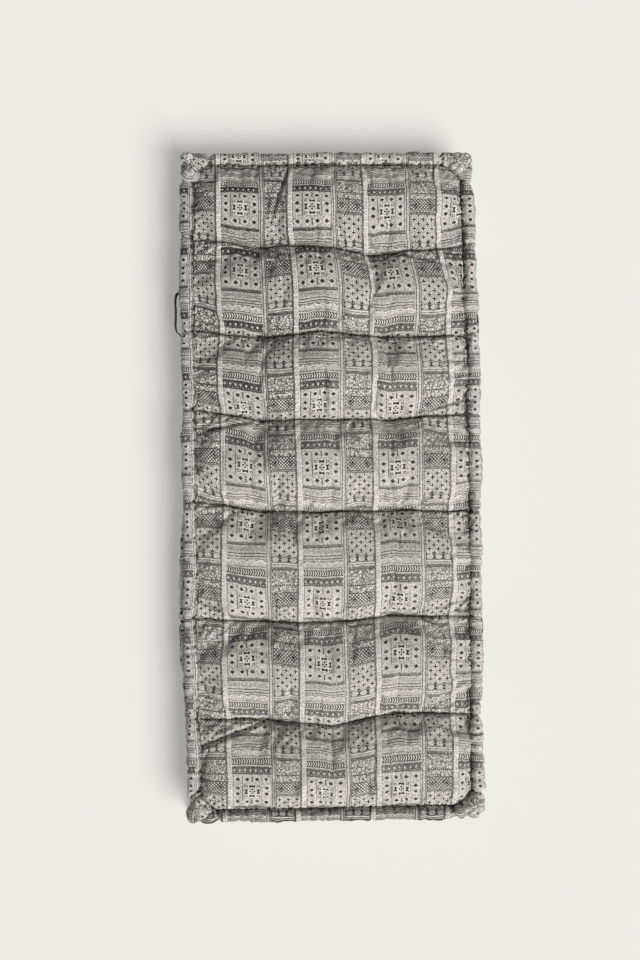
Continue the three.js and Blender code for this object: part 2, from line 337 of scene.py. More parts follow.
def narrow_column(u, v, scrolls):
    """The narrow column's blocks start a little ahead of the broad column's."""
    v = (v + 6.0).wrap(REPEAT_V)
    mid_u = sum(NARROW) / 2
    ink = v * 0.0 + BARE
    ink = ink.mix(0.5, band(v, 1.5, 7.0))
    ink = ink.mix(scrolls, band(v, 7.5, 39)).over(v.near(7.6, 0.8, 0.8) * 0.8)

    beads = length_of((u + 1.0).fold(4.8), v - 40.6).below(1.9, 0.9)
    ink = ink.over(beads * 1.1 * band(v, 38, 43)).mix(scrolls * 1.1, band(v, 43, 56))
    chips = (abs((u - mid_u).fold(8.0)) + (v - 49.0).fold(8.0)).below(1.9, 0.9)
    ink = ink.mix(0.02, band(v, 44, 55) * chips)

    first, second = (u + v - 2.0).fold(7.4), (u - v + 1.0).fold(7.4)
    checks = first.under(second).below(1.25, 0.8)
    ink = ink.mix(checks * 0.86, band(v, 56, 83))
    ink = ink.over(band(v, 56.5, 58.0) * 0.8)
    gem = abs(abs(u - mid_u) - 16.2) + abs(v - 69.5)
    ink = ink.over(gem.near(8.4, 1.2, 0.9) * 0.75 * band(v, 57, 83))
    ink = ink.over(gem.below(3.6, 1.0) * 1.4)
    zigzag = (v - (u - mid_u).fold(6.0) * 0.9 - 84.4).near(0.0, 1.2, 0.8)
    ink = ink.over(zigzag * band(v, 82, 90)).over(v.near(89.2, 0.9, 0.8) * 0.7)

    fine_u, fine_v = (u - mid_u).fold(21.0), (v - 99.0).fold(17.6)
    other_u, other_v = abs(fine_u - 10.5), abs(fine_v - 8.8)
    crosses = plus_sign(fine_u, fine_v).over(plus_sign(other_u, other_v))
    halo = (fine_u + fine_v).under(other_u + other_v)
    lace = halo.below(7.0, 1.2).inverse() * 0.2
    ink = ink.mix(lace.over(crosses), band(v, 91, 145))

    hour = (u - mid_u + 10.0).fold(20.0)
    glass = hour - abs(v - 151.5) * 0.95
    ink = ink.over(glass.below(0.8, 0.9) * band(v, 147, 156.4))
    ink = ink.over(v.near(145.8, 0.8, 0.7) * 0.6).over(v.near(158.0, 0.8, 0.8) * 0.7)
    ink = ink.mix(0.0, v.near(160.4, 0.9, 0.8)).over(v.near(163.0, 0.9, 0.8) * 0.5)
    return ink.over(abs(u - mid_u).near(29.3, 0.8, 0.8) * 0.7)


def plus_sign(across, along):
    arms = across.under(along).below(1.2, 0.8) * across.over(along).below(4.8, 0.9)
    return arms.over((across + along).below(3.0, 0.9)) * 0.9


def line_border(u):
    lines = u.near(BROAD[1] + 2.6, 0.8, 0.8).over(u.near(NARROW[0] - 2.4, 0.9, 0.8))
    return lines * 0.55 + 0.13


def chain_border(u, v):
    line = u.near(NARROW[1] + 1.6, 1.1, 0.9) * 0.75
    links = length_of(u - 171.5, v.fold(11.0)).near(3.2, 0.7, 1.0)
    return line.over(links * 0.3)


INK_STEPS = (
    (0.0, (0.690, 0.662, 0.618)),
    (0.22, (0.450, 0.428, 0.400)),
    (0.5, (0.185, 0.174, 0.166)),
    (1.0, (0.022, 0.020, 0.021)),
)


def printed_cotton(name):
    """Hand-block-printed cotton, coloured by where each point lay on the flat cloth."""
    material, tree, shader = new_material(name)
    texture = cloth_texture(tree)

    drift_u, drift_v = texture.noise(scale=6.0, detail=1.0, as_colour=True)
    jitter_u, jitter_v = texture.noise(scale=85.0, detail=2.0, as_colour=True)
    flat_u, flat_v = texture.coordinates
    u = (flat_u * 1000.0 + (drift_u - 0.5) * 8.0 + (jitter_u - 0.5) * 1.6).wrap(REPEAT_U)
    v = (flat_v * 1000.0 + (drift_v - 0.5) * 12.0 + (jitter_v - 0.5) * 1.6).wrap(REPEAT_V)

    scrolls = texture.cells(scale=150.0).below(0.10, 0.11) * 0.46 + 0.07
    ink = chain_border(u, v).mix(broad_column(u, v), band(u, *BROAD))
    ink = ink.mix(narrow_column(u, v, scrolls), band(u, *NARROW))
    ink = ink.mix(line_border(u), band(u, BROAD[1], NARROW[0]))

    grain = texture.noise(scale=250.0, detail=3.0)
    patches = texture.noise(scale=24.0, detail=3.0)
    foot_seam = PRINT_START[1] + CLOTH_LENGTH
    # Painted light: less ink on the head roll and towards the right side, where the key light falls most.
    painted_light = flat_v.below(PRINT_START[1], 0.01) * 0.2 + flat_u.below(-0.02, 0.15).inverse() * 0.1
    # Painted shade: more ink towards the head end, on the left of the head half and most on the foot roll.
    painted_shade = flat_v.below(0.5, 0.4) * 0.28 + flat_v.below(foot_seam, 0.01).inverse()
    painted_shade = painted_shade + flat_u.below(PRINT_START[0], 0.01) * flat_v.below(0.85, 0.3) * 0.35
    # coverage is the ink: grain and patches, with the painted shade added and the painted light taken off.
    coverage = grain + patches * 0.5 + painted_shade - painted_light + 0.39
    ink = (ink * coverage).math("ADD", (grain - 0.47) * 0.95, clamp=True)

    blend = tree.nodes.new("ShaderNodeValToRGB")
    stops = blend.color_ramp.elements
    while len(stops) < len(INK_STEPS):
        stops.new(0.5)
    for stop, (position, colour) in zip(stops, INK_STEPS):
        stop.position = position
        stop.color = (*colour, 1.0)
    tree.links.new(ink.socket, blend.inputs["Fac"])
    tree.links.new(blend.outputs["Color"], shader.inputs["Base Color"])

    shader.inputs["Roughness"].default_value = 0.92
    shader.inputs["Sheen Weight"].default_value = 0.12
    shader.inputs["Sheen Roughness"].default_value = 0.45
    warp, weft = ((flat * (THREADS_PER_M * math.pi)).math("SINE") for flat in (flat_u, flat_v))
    bump_from(texture, shader, warp * weft * 0.5 + grain * 0.8, 0.00025, strength=0.35)
    return material


def webbing_material():
    """Dark cotton webbing: fine chevron ribs across the strap, a little rubbed."""
    material, tree, shader = new_material("webbing")
    texture = cloth_texture(tree)
    along, across = texture.coordinates
    chevron = (along * 1000.0 + across.fold(0.0055) * 1000.0).fold(1.5) * 1.3
    rubbed = texture.noise(scale=120.0, detail=3.0)
    colour_by(tree, shader, chevron * 0.45 + rubbed * 0.5, (0.012, 0.010, 0.009), (0.062, 0.052, 0.044))
    shader.inputs["Roughness"].default_value = 0.85
    shader.inputs["Sheen Weight"].default_value = 0.15
    bump_from(texture, shader, chevron + rubbed * 0.4, 0.0004)
    return material


def twine_material():
    """Two-ply waxed cotton twine."""
    material, tree, shader = new_material("twine")
    texture = cloth_texture(tree)
    along, around = texture.coordinates
    ply = (along * 1000.0 + around * 900.0).fold(2.4) * 0.8
    fuzz = texture.noise(scale=700.0, detail=2.0)
    colour_by(tree, shader, ply * 0.6 + fuzz * 0.4, (0.020, 0.018, 0.016), (0.110, 0.100, 0.088))
    shader.inputs["Roughness"].default_value = 0.7
    bump_from(texture, shader, ply, 0.0005)
    return material


def wadding_material():
    """Unbleached cotton wadding, with specks of seed husk."""
    material, tree, shader = new_material("wadding")
    place = tree.nodes.new("ShaderNodeNewGeometry")
    texture = Shading(tree, place.outputs["Position"])
    tufted = texture.noise(scale=70.0, detail=6.0)
    specks = texture.noise(scale=900.0, detail=1.0).below(0.28, 0.04)
    colour_by(tree, shader, tufted * 0.8 - specks * 0.5, (0.30, 0.25, 0.18), (0.80, 0.76, 0.67))
    shader.inputs["Roughness"].default_value = 1.0
    bump_from(texture, shader, tufted, 0.003)
    return material


# ---------------------------------------------------------------------------------------------------------
# Mesh helpers
# ---------------------------------------------------------------------------------------------------------

# Where the left side strays to the right: the middle of the stretch in Y, how far, and how wide it is.
LEFT_STRAYS = ((0.70, 2 * MM, 0.09), (-0.27, -4 * MM, 0.12), (-0.69, 8 * MM, 0.12))


def bowed(points):
    """The long sides are not quite straight: the right one bows out, and the left one wanders."""
    x, y = points[..., 0], points[..., 1]
    right_bow = 6 * MM * (1 - (y / outer_head) ** 2) + 7 * MM * bell(y - 0.24, 0.34)
    stray = sum(far * bell(y - middle, width) for middle, far, width in LEFT_STRAYS)
    moved = points.copy()
    moved[..., 0] += right_bow * np.clip(x / outer_right, 0, 1.2) + stray * np.clip(x / outer_left, 0, 1.2)
    return moved


def grid_object(name, points, cloth, material, closed_rows=False, closed_columns=False):
    """A quad mesh over points[row, column], with cloth[row, column] as its flat-cloth coordinates.

    A closed grid's cloth has one more row or column than its points.
    """
    points = bowed(points)
    rows, columns = points.shape[:2]
    index = np.arange(rows * columns).reshape(rows, columns)
    if closed_rows:
        index = np.vstack([index, index[:1]])
    if closed_columns:
        index = np.hstack([index, index[:, :1]])
    quads = cell_corners(index).reshape(-1, 4)
    return new_piece(name, points.reshape(-1, 3).tolist(), quads.tolist(), cell_corners(cloth), material)


def cell_corners(grid):
    """The values at the corners of each cell of a grid, in order round the cell."""
    return np.stack([grid[:-1, :-1], grid[:-1, 1:], grid[1:, 1:], grid[1:, :-1]], axis=2)


def new_piece(name, verts, faces, cloth, material):
    """A smooth mesh object. cloth holds the flat-cloth place of every corner of every face."""
    mesh = bpy.data.meshes.new(name)
    mesh.from_pydata(verts, [], faces)
    mesh.uv_layers.new(name="cloth").data.foreach_set("uv", np.array(cloth, np.float32).reshape(-1))
    mesh.materials.append(material)
    mesh.polygons.foreach_set("use_smooth", np.ones(len(mesh.polygons), bool))
    mesh.update()
    piece = bpy.data.objects.new(name, mesh)
    bpy.context.scene.collection.objects.link(piece)
    return piece


def thicken(panel):
    """Give a panel the thickness of its cloth, on its inner side."""
    shell = panel.modifiers.new("thickness", "SOLIDIFY")
    shell.thickness = 2 * MM
    shell.offset = -1


def strand_object(name, strands, material):
    """Closed skins over strands of rings[ring, point], each with both ends capped, as one mesh."""
    verts, faces, cloth = [], [], []
    for rings in strands:
        rings = bowed(rings)
        count, around = rings.shape[:2]
        base = len(verts)
        verts += rings.reshape(-1, 3).tolist()
        centres = rings.mean(axis=1)
        run = np.concatenate([[0], np.cumsum(np.linalg.norm(np.diff(centres, axis=0), axis=1))])
        girth = np.linalg.norm(np.roll(rings[count // 2], -1, axis=0) - rings[count // 2], axis=1)
        round_it = np.concatenate([[0], np.cumsum(girth)])
        for ring in range(count - 1):
            for point in range(around):
                after = (point + 1) % around
                low, high = base + ring * around, base + (ring + 1) * around
                faces.append((low + point, low + after, high + after, high + point))
                corners = ((ring, point), (ring, point + 1), (ring + 1, point + 1), (ring + 1, point))
                cloth += [(run[r], round_it[p]) for r, p in corners]
        for ring, order in ((0, range(around - 1, -1, -1)), (count - 1, range(around))):
            faces.append([base + ring * around + point for point in order])
            cloth += [(run[ring], round_it[point]) for point in order]
    return new_piece(name, verts, faces, cloth, material)


def rod(centres, radius, around=7):
    """Rings of a round strand along a line of centres, narrowing at both ends."""
    centres = np.asarray(centres, float)
    ahead = np.gradient(centres, axis=0)
    ahead /= np.linalg.norm(ahead, axis=1, keepdims=True)
    side = np.cross(ahead, [0.31, 0.17, 0.93])
    side /= np.linalg.norm(side, axis=1, keepdims=True)
    over = np.cross(ahead, side)
    angle = np.linspace(0, TAU, around, endpoint=False)[None, :, None]
    thick = np.full((len(centres), 1, 1), radius)
    thick[0] = thick[-1] = radius * 0.45
    return centres[:, None] + thick * (np.cos(angle) * side[:, None] + np.sin(angle) * over[:, None])


def ripples(points, scale, seed, count=12):
    """Smooth random waves about scale long, of unit strength, worked out at points[..., :]."""
    rng = np.random.default_rng(seed)
    total = np.zeros(points.shape[:-1])
    for _ in range(count):
        direction = rng.normal(size=points.shape[-1])
        direction /= np.linalg.norm(direction)
        wave = TAU / (scale * rng.uniform(0.7, 1.6))
        total += np.sin(points @ (direction * wave) + rng.uniform(0, TAU))
    return total / math.sqrt(count / 2)


def bell(distance, width):
    return np.exp(-((distance / width) ** 2))


def pillow(share, fullness=2.0):
    """The rise of a stuffed edge: upright at 0 and level from 1 on."""
    inside = 1 - np.clip(share, 0, 1)
    return (1 - inside**fullness) ** (1 / fullness)


# ---------------------------------------------------------------------------------------------------------
# The seam between the top panel and the rolls, and the creases along the rows of tufts
# ---------------------------------------------------------------------------------------------------------

ROLL_HALF_WIDTH = {"left": 17 * MM, "right": 16 * MM, "head": 16 * MM, "foot": 16 * MM}
ROLL_HALF_HEIGHT = 17 * MM
ROLL_REACH = 1.93  # how far a roll stands out from its seam, in half widths
CORNER_ROUND = 56 * MM
STITCH_SPACING = 21 * MM
UPPER_SEAM_SEED = 15

seam_left = outer_left + ROLL_REACH * ROLL_HALF_WIDTH["left"]
seam_right = outer_right - ROLL_REACH * ROLL_HALF_WIDTH["right"]
seam_head = outer_head - ROLL_REACH * ROLL_HALF_WIDTH["head"]
seam_foot = outer_foot + ROLL_REACH * ROLL_HALF_WIDTH["foot"]
seam_middle = ((seam_left + seam_right) / 2, (seam_head + seam_foot) / 2)
seam_half = ((seam_right - seam_left) / 2, (seam_head - seam_foot) / 2)

# How each row's crease wanders from the straight line through its two tufts, towards the head, in
# millimetres: at the left edge, halfway between the tufts and at the right edge.
CREASE_DRIFT = [(18, 12, 17), (16, 14, 0), (28, 1, 12), (26, -3, -5), (10, -9, -5), (8, -21, -3)]


def crease_line(row, x):
    """The crease's Y at each x."""
    left, right = tufts["left"][row], tufts["right"][row]
    at_left, between, at_right = (drift * MM for drift in CREASE_DRIFT[row])
    middle = (left.x + right.x) / 2
    known_x = [seam_left, left.x, middle, right.x, seam_right]
    known_y = [left.y + at_left, left.y, (left.y + right.y) / 2 + between, right.y, right.y + at_right]
    straight = np.interp(x, known_x, known_y)
    softened = [np.interp(x + shift, known_x, known_y) for shift in np.linspace(-0.03, 0.03, 7)]
    wander = 1.1 * MM * np.sin(x * 43 + row * 2.1) + 0.5 * MM * np.sin(x * 101 + row * 4.7)
    return 0.6 * straight + 0.4 * np.mean(softened, axis=0) + wander


def from_creases(x, y):
    """Distances towards the head from each row's crease, over a grid whose columns have one x each."""
    return [y - crease_line(row, x[0]) for row in range(TUFT_ROWS)]


def inside_seam(x, y):
    """Distance in from the rounded rectangle of the seam; negative outside it."""
    away_x = np.abs(x - seam_middle[0]) - seam_half[0] + CORNER_ROUND
    away_y = np.abs(y - seam_middle[1]) - seam_half[1] + CORNER_ROUND
    beyond = np.hypot(np.maximum(away_x, 0), np.maximum(away_y, 0))
    return CORNER_ROUND - beyond - np.minimum(np.maximum(away_x, away_y), 0)


class Path:
    """Points round the seam, clockwise from the head edge's left end, with their outward directions."""

    def __init__(self, step):
        straight_x, straight_y = seam_half[0] - CORNER_ROUND, seam_half[1] - CORNER_ROUND
        corners = [(-straight_x, straight_y), (straight_x, straight_y)]
        corners += [(straight_x, -straight_y), (-straight_x, -straight_y)]
        centres, angles = [], []
        for side in range(4):
            begin, end = np.array(corners[side]), np.array(corners[(side + 1) % 4])
            normal = math.pi / 2 * (1 - side)
            count = max(2, int(np.linalg.norm(end - begin) / step))
            share = np.linspace(0, 1, count, endpoint=False)[:, None]
            centres.append(begin + (end - begin) * share)
            angles.append(np.full(count, normal))
            count = max(6, int(CORNER_ROUND * 1.9 / step))
            share = np.linspace(0, 1, count, endpoint=False)
            centres.append(np.repeat(end[None], count, axis=0))
            angles.append(normal - math.pi / 2 * share)
        angle = np.concatenate(angles)
        self.normal = np.stack([np.cos(angle), np.sin(angle)], axis=1)
        self.at = np.concatenate(centres) + CORNER_ROUND * self.normal + np.array(seam_middle)
        gaps = np.linalg.norm(np.roll(self.at, -1, axis=0) - self.at, axis=1)
        self.along = np.concatenate([[0], np.cumsum(gaps)])
        self.total = self.along[-1]
        self.along = self.along[:-1]
        self.turn = np.degrees(angle)
        facing = {"right": (0, 1), "left": (0, -1), "head": (1, 1), "foot": (1, -1)}
        self.side = {name: np.maximum(sign * self.normal[:, axis], 0) ** 2
                     for name, (axis, sign) in facing.items()}

    def corner_span(self, corner):
        """Where along the path a corner begins and ends. Corner 0 is the head's right one."""
        turning = (self.turn < 90 - 90 * corner - 0.1) & (self.turn > -90 * corner + 0.1)
        return self.along[turning].min(), self.along[turning].max()

    def by_side(self, values):
        return sum(self.side[name] * value for name, value in values.items())

    def signed_to(self, place):
        """Distance along the path from place, the short way round."""
        return (self.along - place + self.total / 2) % self.total - self.total / 2

    def nearest(self, x, y):
        return self.along[np.argmin(np.hypot(self.at[:, 0] - x, self.at[:, 1] - y))]


def stitch_places(total, seed):
    """Places along a seam, with the unevenness of handwork."""
    rng = np.random.default_rng(seed)
    count = int(round(total / STITCH_SPACING))
    return (np.arange(count) + rng.uniform(-0.3, 0.3, count)) * total / count


# ---------------------------------------------------------------------------------------------------------
# The top panel
# ---------------------------------------------------------------------------------------------------------

PANEL_COLUMNS = 111
ROWS_PER_PUFF = 34
SEAM_HEIGHT = 82 * MM
CREASE_HEIGHT = 73 * MM
CREASE_SLOT = 12 * MM  # of the narrow slot where two puffs press together
PUFF_REACH = 118 * MM  # crease to the level top of a puff
EDGE_REACH = 66 * MM  # seam to the level top of a puff
SETTLE_FRAMES = 22
SETTLE_LIMIT = 9 * MM  # the furthest that settling may move a point

# Cloth drawn down into each row's crease and over the two end edges, in millimetres.
CREASE_TAKEN_UP = (5, 20, 20, 17, 23, 27)
HEAD_TAKEN_UP = 32
FOOT_TAKEN_UP = 12
CLOTH_LENGTH = seam_head - seam_foot + (HEAD_TAKEN_UP + sum(CREASE_TAKEN_UP) + FOOT_TAKEN_UP) * MM

# Short folds that the cloth has taken beside the main creases: from one point to another, with a depth,
# all in millimetres.
LOOSE_FOLDS = [
    ((-93, 755), (-146, 600), 8.0),
    ((150, 556), (345, 514), 9.0),
    ((-330, 536), (-255, 541), 6.0),
    ((-330, 243), (-225, 235), 6.0),
    ((-330, 116), (-185, 147), 10.0),
    ((-330, -270), (-235, -314), 8.0),
    ((-330, -380), (-270, -383), 5.0),
    ((-330, -625), (-160, -567), 11.0),
    ((350, -272), (235, -303), 5.0),
    ((330, 200), (225, 170), 4.0),
    ((330, -430), (265, -421), 4.0),
]


def panel_grid():
    """Plan positions of the panel's points, in rows from the head and columns from the left."""
    share = np.linspace(0, 1, PANEL_COLUMNS)
    share = 0.82 * share + 0.18 * (1 - np.cos(math.pi * share)) / 2
    x = seam_left + (seam_right - seam_left) * share
    lines = [np.full_like(x, seam_head)]
    lines += [crease_line(row, x) for row in range(TUFT_ROWS)]
    lines += [np.full_like(x, seam_foot)]
    step = np.linspace(0, 1, ROWS_PER_PUFF, endpoint=False)
    step = 0.45 * step + 0.55 * (1 - np.cos(math.pi * step)) / 2
    y_rows = []
    for above, below in zip(lines[:-1], lines[1:]):
        y_rows += [above + (below - above) * s for s in step]
    y_rows.append(lines[-1])
    y = np.array(y_rows)
    return np.broadcast_to(x, y.shape).copy(), y


def panel_height(x, y):
    """Seven puffs between the creases, dimpled at the tufts and rounded off towards the seam."""
    swell = np.ones_like(x)
    slot = np.zeros_like(x)
    for row, away in enumerate(from_creases(x, y)):
        swell *= pillow(np.abs(away) / PUFF_REACH, 1.65)
        tightness = 0.75 + 0.35 * ripples(np.stack([x, y], axis=-1), 0.12, seed=40 + row, count=5)
        slot += CREASE_SLOT * np.clip(tightness, 0.25, 1.2) * bell(away, 2.8 * MM)
    flat = np.stack([x, y], axis=-1)
    top = crown - 2.5 * MM - 18 * MM * (x / outer_right) ** 2 + 1.5 * MM * ripples(flat, 0.22, seed=3)
    height = CREASE_HEIGHT + (top - CREASE_HEIGHT) * swell - slot
    for tuft in all_tufts:
        away = np.hypot(x - tuft.x, (y - tuft.y) * 1.15)
        below = np.hypot(x - tuft.x, (y - tuft.y + 16 * MM) * 1.1)
        dip = 12 * MM * bell(away, 60 * MM) + 6 * MM * bell(below, 30 * MM)
        height -= dip + 7 * MM * bell(away, 17 * MM)
    for start, end, depth in LOOSE_FOLDS:
        height -= depth * MM * fold_share(x, y, start, end, 5.5 * MM)
    inside = inside_seam(x, y)
    near_head = np.clip((y - seam_head) / (120 * MM) + 1, 0, 1)
    rim = pillow(inside / (EDGE_REACH + 24 * MM * near_head), 2.3 - 0.5 * near_head)
    return SEAM_HEIGHT + (height - SEAM_HEIGHT) * rim - seam_puckers(x, y, inside)


def seam_puckers(x, y, inside):
    """How far the seam's stitches draw the panel down just inside them."""
    path = Path(3 * MM)
    rng = np.random.default_rng(77)
    dent = np.zeros_like(x)
    near = inside < 70 * MM
    plan = np.stack([x[near], y[near]], axis=-1)
    total = np.zeros(len(plan))
    for stitch in stitch_places(path.total, UPPER_SEAM_SEED):
        index = np.argmin(np.abs(path.along - stitch))
        normal, at = path.normal[index], path.at[index]
        depth, reach, lean = rng.uniform(1.0, 5.5) * MM, rng.uniform(9, 26) * MM, rng.uniform(-0.35, 0.35)
        inward = (at - plan) @ normal
        side = (plan - at) @ np.array([-normal[1], normal[0]]) + lean * inward
        width = (3.6 * MM + 0.12 * np.maximum(inward, 0))
        total += depth * bell(side, width) * np.exp(-np.maximum(inward, 0) / reach)
    dent[near] = total
    return dent


def fold_share(x, y, start, end, width):
    """1 in the bottom of a short fold, fading to 0 beside it and towards its far end."""
    start, end = np.array(start) * MM, np.array(end) * MM
    run = end - start
    along = ((x - start[0]) * run[0] + (y - start[1]) * run[1]) / (run @ run)
    side = ((x - start[0]) * run[1] - (y - start[1]) * run[0]) / np.linalg.norm(run)
    fade = np.clip(2.5 * (1 - along), 0, 1) * np.clip(8 * (along + 0.12), 0, 1)
    return bell(side, width) * np.sqrt(fade)


def flat_cloth(x, y, z):
    """Where each point of the draped panel lay on the flat cloth, in metres.

    Between the middles of two puffs every column has the same length of cloth: the distance in plan and
    what the crease between them takes up.
    """
    u_steps = np.hypot(np.diff(x, axis=1), np.diff(z, axis=1)).mean(axis=0)
    u = np.concatenate([[0], np.cumsum(u_steps)])
    u -= np.interp(0, x[0], u)
    steps = np.hypot(np.diff(y, axis=0), np.diff(z, axis=0))
    v = np.zeros_like(y)
    middles = [int(ROWS_PER_PUFF * (puff + 0.5)) for puff in range(TUFT_ROWS + 1)]
    starts, ends = [0, *middles], [*middles, len(y) - 1]
    for start, end, taken_up in zip(starts, ends, (HEAD_TAKEN_UP, *CREASE_TAKEN_UP, FOOT_TAKEN_UP)):
        run = np.cumsum(steps[start:end], axis=0)
        length = np.mean(y[start] - y[end]) + taken_up * MM
        v[start + 1 : end + 1] = v[start] + length * run / run[-1]
    return np.stack([u + askew(x, y), v], axis=-1)


def askew(x, y):
    """The cloth lies a little further left towards the head, and on the left side as far as the middle."""
    head_share = np.clip((y - 0.46) / 0.14, 0, 1)
    left_share = np.clip(0.5 - x / 0.5, 0, 1) * np.clip((y + 0.05) / 0.25, 0, 1)
    right_share = np.clip(x / 0.4 + 0.5, 0, 1) * (1 - head_share)
    return (12 * head_share + 6 * left_share * (1 - head_share) - 4 * right_share) * MM


def make_top_panel(material):
    x, y = panel_grid()
    z = panel_height(x, y)
    cloth = flat_cloth(x, y, z)
    points = np.stack([x, y, z], axis=-1)
    points = settled(points, panel_hold(x, y), material)
    points, fine_cloth = refined(points), refined(cloth)
    points[..., 2] += fine_creases(points) - sharp_lines(points)
    panel = grid_object("top_panel_cloth", points[::-1], in_print(fine_cloth)[::-1], material)
    thicken(panel)
    return panel, points, fine_cloth


def panel_hold(x, y):
    """How firmly each point is held: 1 at the seam and the tufts, and part of that in the creases."""
    hold = np.clip(1 - inside_seam(x, y) / (7 * MM), 0, 1)
    for away in from_creases(x, y):
        hold = np.maximum(hold, 0.55 * bell(away, 9 * MM))
    for tuft in all_tufts:
        hold = np.maximum(hold, bell(np.hypot(x - tuft.x, y - tuft.y), 9 * MM))
    return np.clip(hold, 0, 1)


def settled(points, hold, material):
    """The points after the cloth has buckled over its wadding: a short simulation, without gravity."""
    trial = grid_object("trial_cloth", points, points[..., :2], material)
    start = np.empty(points.size)
    trial.data.vertices.foreach_get("co", start)
    group = trial.vertex_groups.new(name="held")
    for index, weight in enumerate(np.round(hold.reshape(-1), 2)):
        group.add([index], float(weight), "REPLACE")
    solver = trial.modifiers.new("settle", "CLOTH")
    cloth = solver.settings
    cloth.quality = 7
    cloth.mass = 0.2
    cloth.tension_stiffness = cloth.compression_stiffness = 18
    cloth.shear_stiffness = 6
    cloth.bending_stiffness = 0.12
    cloth.tension_damping = cloth.compression_damping = 8
    cloth.vertex_group_mass = "held"
    cloth.pin_stiffness = 1.0
    cloth.shrink_min = -0.055
    cloth.use_pressure = True
    cloth.uniform_pressure_force = -1.2
    cloth.effector_weights.gravity = 0
    solver.collision_settings.use_collision = False
    scene = bpy.context.scene
    for number in range(1, SETTLE_FRAMES + 1):
        scene.frame_set(number)
    result = trial.evaluated_get(bpy.context.evaluated_depsgraph_get()).data
    end = np.empty(points.size)
    result.vertices.foreach_get("co", end)
    scene.frame_set(1)
    bpy.data.objects.remove(trial)
    move = (end - start).reshape(points.shape)
    size = np.linalg.norm(move, axis=-1, keepdims=True)
    return points + move * np.minimum(1, SETTLE_LIMIT / np.maximum(size, 1e-9))


def refined(grid):
    """The grid with a smooth point between every two."""
    for axis in (0, 1):
        grid = np.moveaxis(grid, axis, 0)
        padded = np.concatenate([2 * grid[:1] - grid[1:2], grid, 2 * grid[-1:] - grid[-2:-1]])
        between = (9 * (padded[1:-2] + padded[2:-1]) - padded[:-3] - padded[3:]) / 16
        result = np.empty((2 * len(grid) - 1, *grid.shape[1:]))
        result[::2] = grid
        result[1::2] = between
        grid = np.moveaxis(result, 0, axis)
    return grid


def fine_creases(points):
    """Small crumples, in the slack cloth beside the creases most of all."""
    x, y = points[..., 0], points[..., 1]
    plan = points[..., :2] * np.array([1.0, 1.6])
    slack = np.zeros_like(x)
    for away in from_creases(x, y):
        slack += bell(away, 40 * MM)
    for tuft in all_tufts:
        slack += 0.8 * bell(np.hypot(x - tuft.x, y - tuft.y), 60 * MM)
    inside = inside_seam(x, y)
    slack += 0.9 * bell(inside, 35 * MM)
    share = (0.3 + np.clip(slack, 0, 1.2)) * np.clip(inside / (6 * MM), 0, 1)
    ridged = 1 - np.abs(ripples(plan, 0.045, seed=61, count=16)) * 0.9
    broad = np.clip(inside / (30 * MM), 0, 1) * 1.1 * MM * ripples(plan, 0.07, seed=63, count=16)
    return broad + share * MM * (1.2 * ridged + 0.6 * ripples(plan, 0.018, seed=62, count=20))


def sharp_lines(points):
    """The hard line at the bottom of each crease and fold, where the cloth is pressed together."""
    x, y = points[..., 0], points[..., 1]
    depth = np.zeros_like(x)
    for away in from_creases(x, y):
        depth += 4 * MM * bell(away, 2.4 * MM)
    for start, end, fold_depth in LOOSE_FOLDS:
        depth += 0.7 * MM * fold_depth * fold_share(x, y, start, end, 3.2 * MM)
    return depth


# ---------------------------------------------------------------------------------------------------------
# The rolled edges and the side wall: closed rings swept round the mattress
# ---------------------------------------------------------------------------------------------------------

SEAM_ANGLE = math.radians(158)  # where on a roll's section the panel meets it

# Deep pleats where the rolls turn each corner, as shares of the turn, clockwise from the head's left end:
# right head, right foot, left foot and left head.
CORNER_PLEATS = ((0.12, 0.62, 0.86), (0.2, 0.42, 0.66, 0.9), (0.1, 0.34, 0.6, 0.9), (0.16, 0.5, 0.84))


def sweep(path, out, up):
    """Points of a ring: out and up are [path, section] distances from the seam line and the floor."""
    plan = path.at[:, None] + path.normal[:, None] * out[..., None]
    return np.concatenate([plan, up[..., None]], axis=-1)


def fold_profile(gap, sharp, gentle):
    """A pucker that falls steeply on one side and gently on the other."""
    return np.where(gap < 0, bell(gap, sharp), bell(gap, gentle))


